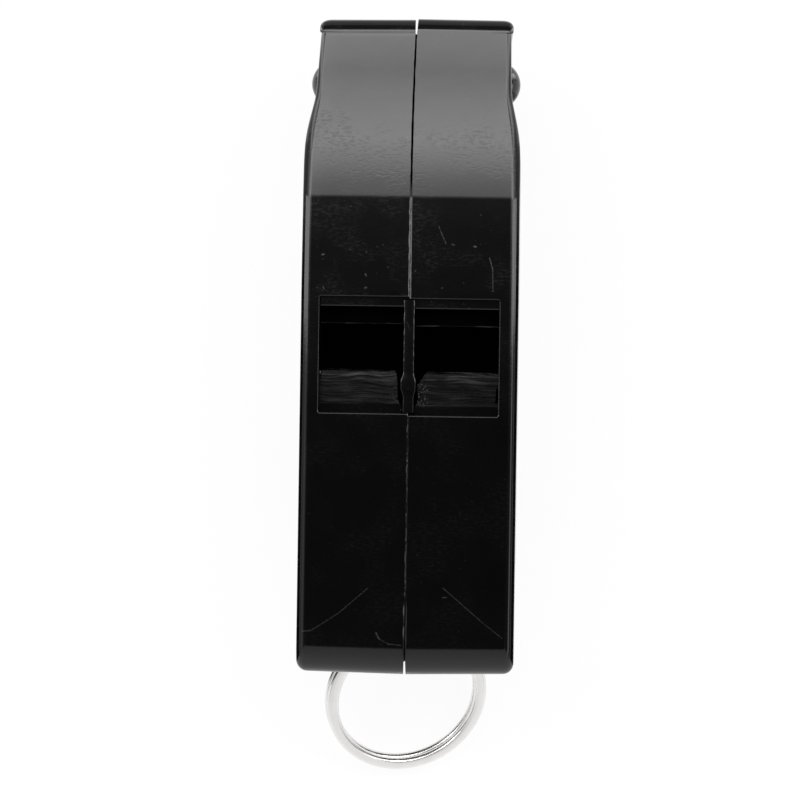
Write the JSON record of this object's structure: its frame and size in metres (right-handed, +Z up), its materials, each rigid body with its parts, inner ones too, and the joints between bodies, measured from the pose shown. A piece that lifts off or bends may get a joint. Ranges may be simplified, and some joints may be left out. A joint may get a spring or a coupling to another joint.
{
  "type": "sports whistle",
  "caption": "Pealess whistle with top windows side by side, a sloping mouthpiece and a split ring in an eye under its rear end.",
  "frame": {"origin": "on the flat underside, at mid-length of the body on the seam between the shells", "axes": "+Y along the body to the mouthpiece, +Z up out of the flat top, +X to the right as seen from above with the mouthpiece ahead"},
  "size_m": [0.019, 0.0679, 0.02],
  "materials": {
    "shell_plastic": "gloss black ABS, lightly scuffed",
    "plate_plastic": "gloss black ABS, as moulded",
    "ring_metal": "nickel-plated steel, polished"
  },
  "bodies": {
    "whistle": {"left_shell": "shell_plastic", "right_shell": "shell_plastic", "centre_plate": "plate_plastic"},
    "ring": {"split_ring": "ring_metal"}
  },
  "joints": [
    {"name": "ring_swing", "type": "hinge", "parent": "whistle", "child": "ring", "pos_m": [0, -0.0256, 0.0072], "axis": [1, 0, 0], "range_deg": [-33, 78]}
  ]
}
